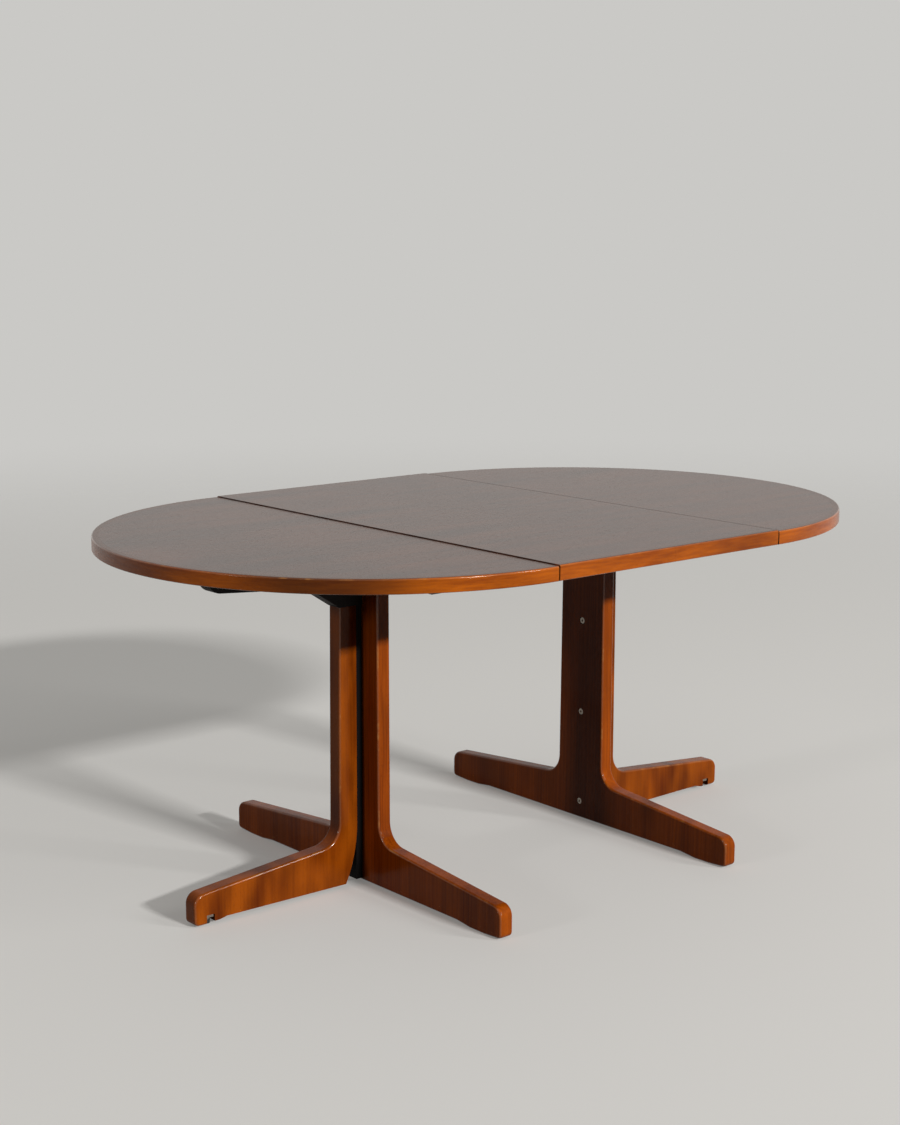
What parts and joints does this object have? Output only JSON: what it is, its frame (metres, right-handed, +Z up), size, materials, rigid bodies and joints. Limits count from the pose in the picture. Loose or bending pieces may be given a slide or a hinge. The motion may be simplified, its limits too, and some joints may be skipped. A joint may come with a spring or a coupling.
{
  "type": "butterfly leaf table",
  "caption": "Oval extension dining table: half-round tops on a split pedestal that draws apart on steel rails, with a butterfly leaf that folds on hidden hinges.",
  "frame": {"origin": "on the floor under the middle of the table", "axes": "+X along the table's length to the far half, +Y across it, +Z up"},
  "size_m": [1.7038, 1.1, 0.737],
  "materials": {
    "teak_veneer": "satin lacquer",
    "teak_solid": "satin lacquer",
    "dark_stain": "dark stained",
    "black_stain": "black stained",
    "beech": "plain",
    "zinc_steel": "zinc plated",
    "rail_steel": "plain drawn",
    "brass": "plain",
    "black_nylon": "matte"
  },
  "bodies": {
    "leaf_frame": {"slide_rails": "rail_steel", "rail_stops": "rail_steel", "swing_arms": "rail_steel", "swing_pins": "zinc_steel", "leaf_brackets": "rail_steel", "near_wing_panel": "teak_veneer", "near_wing_lippings": "teak_solid", "near_hinge_barrels": "brass", "hinge_links": "brass"},
    "far_wing": {"far_wing_panel": "teak_veneer", "far_wing_lippings": "teak_solid", "far_hinge_barrels": "brass"},
    "near_half": {"near_top_panel": "teak_veneer", "near_top_lipping": "teak_solid", "near_pedestal_board": "teak_solid", "near_spacer_strip": "black_stain", "near_l_leg": "teak_solid", "near_connector_bolts": "zinc_steel", "near_threaded_inserts": "zinc_steel", "near_top_arm": "dark_stain", "near_arm_dowels": "beech", "near_arm_screws": "zinc_steel", "near_battens": "dark_stain", "near_batten_screws": "zinc_steel", "near_slide_channels": "rail_steel", "near_leaf_rests": "rail_steel", "near_glide_plate": "zinc_steel", "near_glide_plate_screws": "zinc_steel"},
    "far_half": {"far_top_panel": "teak_veneer", "far_top_lipping": "teak_solid", "far_pedestal_board": "teak_solid", "far_spacer_strip": "black_stain", "far_l_leg": "teak_solid", "far_connector_bolts": "zinc_steel", "far_threaded_inserts": "zinc_steel", "far_top_arm": "dark_stain", "far_arm_dowels": "beech", "far_arm_screws": "zinc_steel", "far_battens": "dark_stain", "far_batten_screws": "zinc_steel", "far_slide_channels": "rail_steel", "far_leaf_rests": "rail_steel", "far_glide_plate": "zinc_steel", "far_glide_plate_screws": "zinc_steel"},
    "near_glide": {"near_glide_pad": "black_nylon", "near_glide_stem": "zinc_steel"},
    "far_glide": {"far_glide_pad": "black_nylon", "far_glide_stem": "zinc_steel"}
  },
  "joints": [
    {"name": "near_draw", "type": "slide", "parent": "leaf_frame", "child": "near_half", "axis": [-1, 0, 0], "range_m": [0, 0.05]},
    {"name": "far_draw", "type": "slide", "parent": "leaf_frame", "child": "far_half", "axis": [1, 0, 0], "range_m": [0, 0.05]},
    {"name": "leaf_fold", "type": "hinge", "parent": "leaf_frame", "child": "far_wing", "pos_m": [0.0008, 0, 0.7372], "axis": [0, -1, 0], "range_deg": [0, 180]},
    {"name": "near_glide_screw", "type": "slide", "parent": "near_half", "child": "near_glide", "axis": [0, 0, -1], "range_m": [0, 0.008]},
    {"name": "far_glide_screw", "type": "slide", "parent": "far_half", "child": "far_glide", "axis": [0, 0, -1], "range_m": [0, 0.008]}
  ]
}
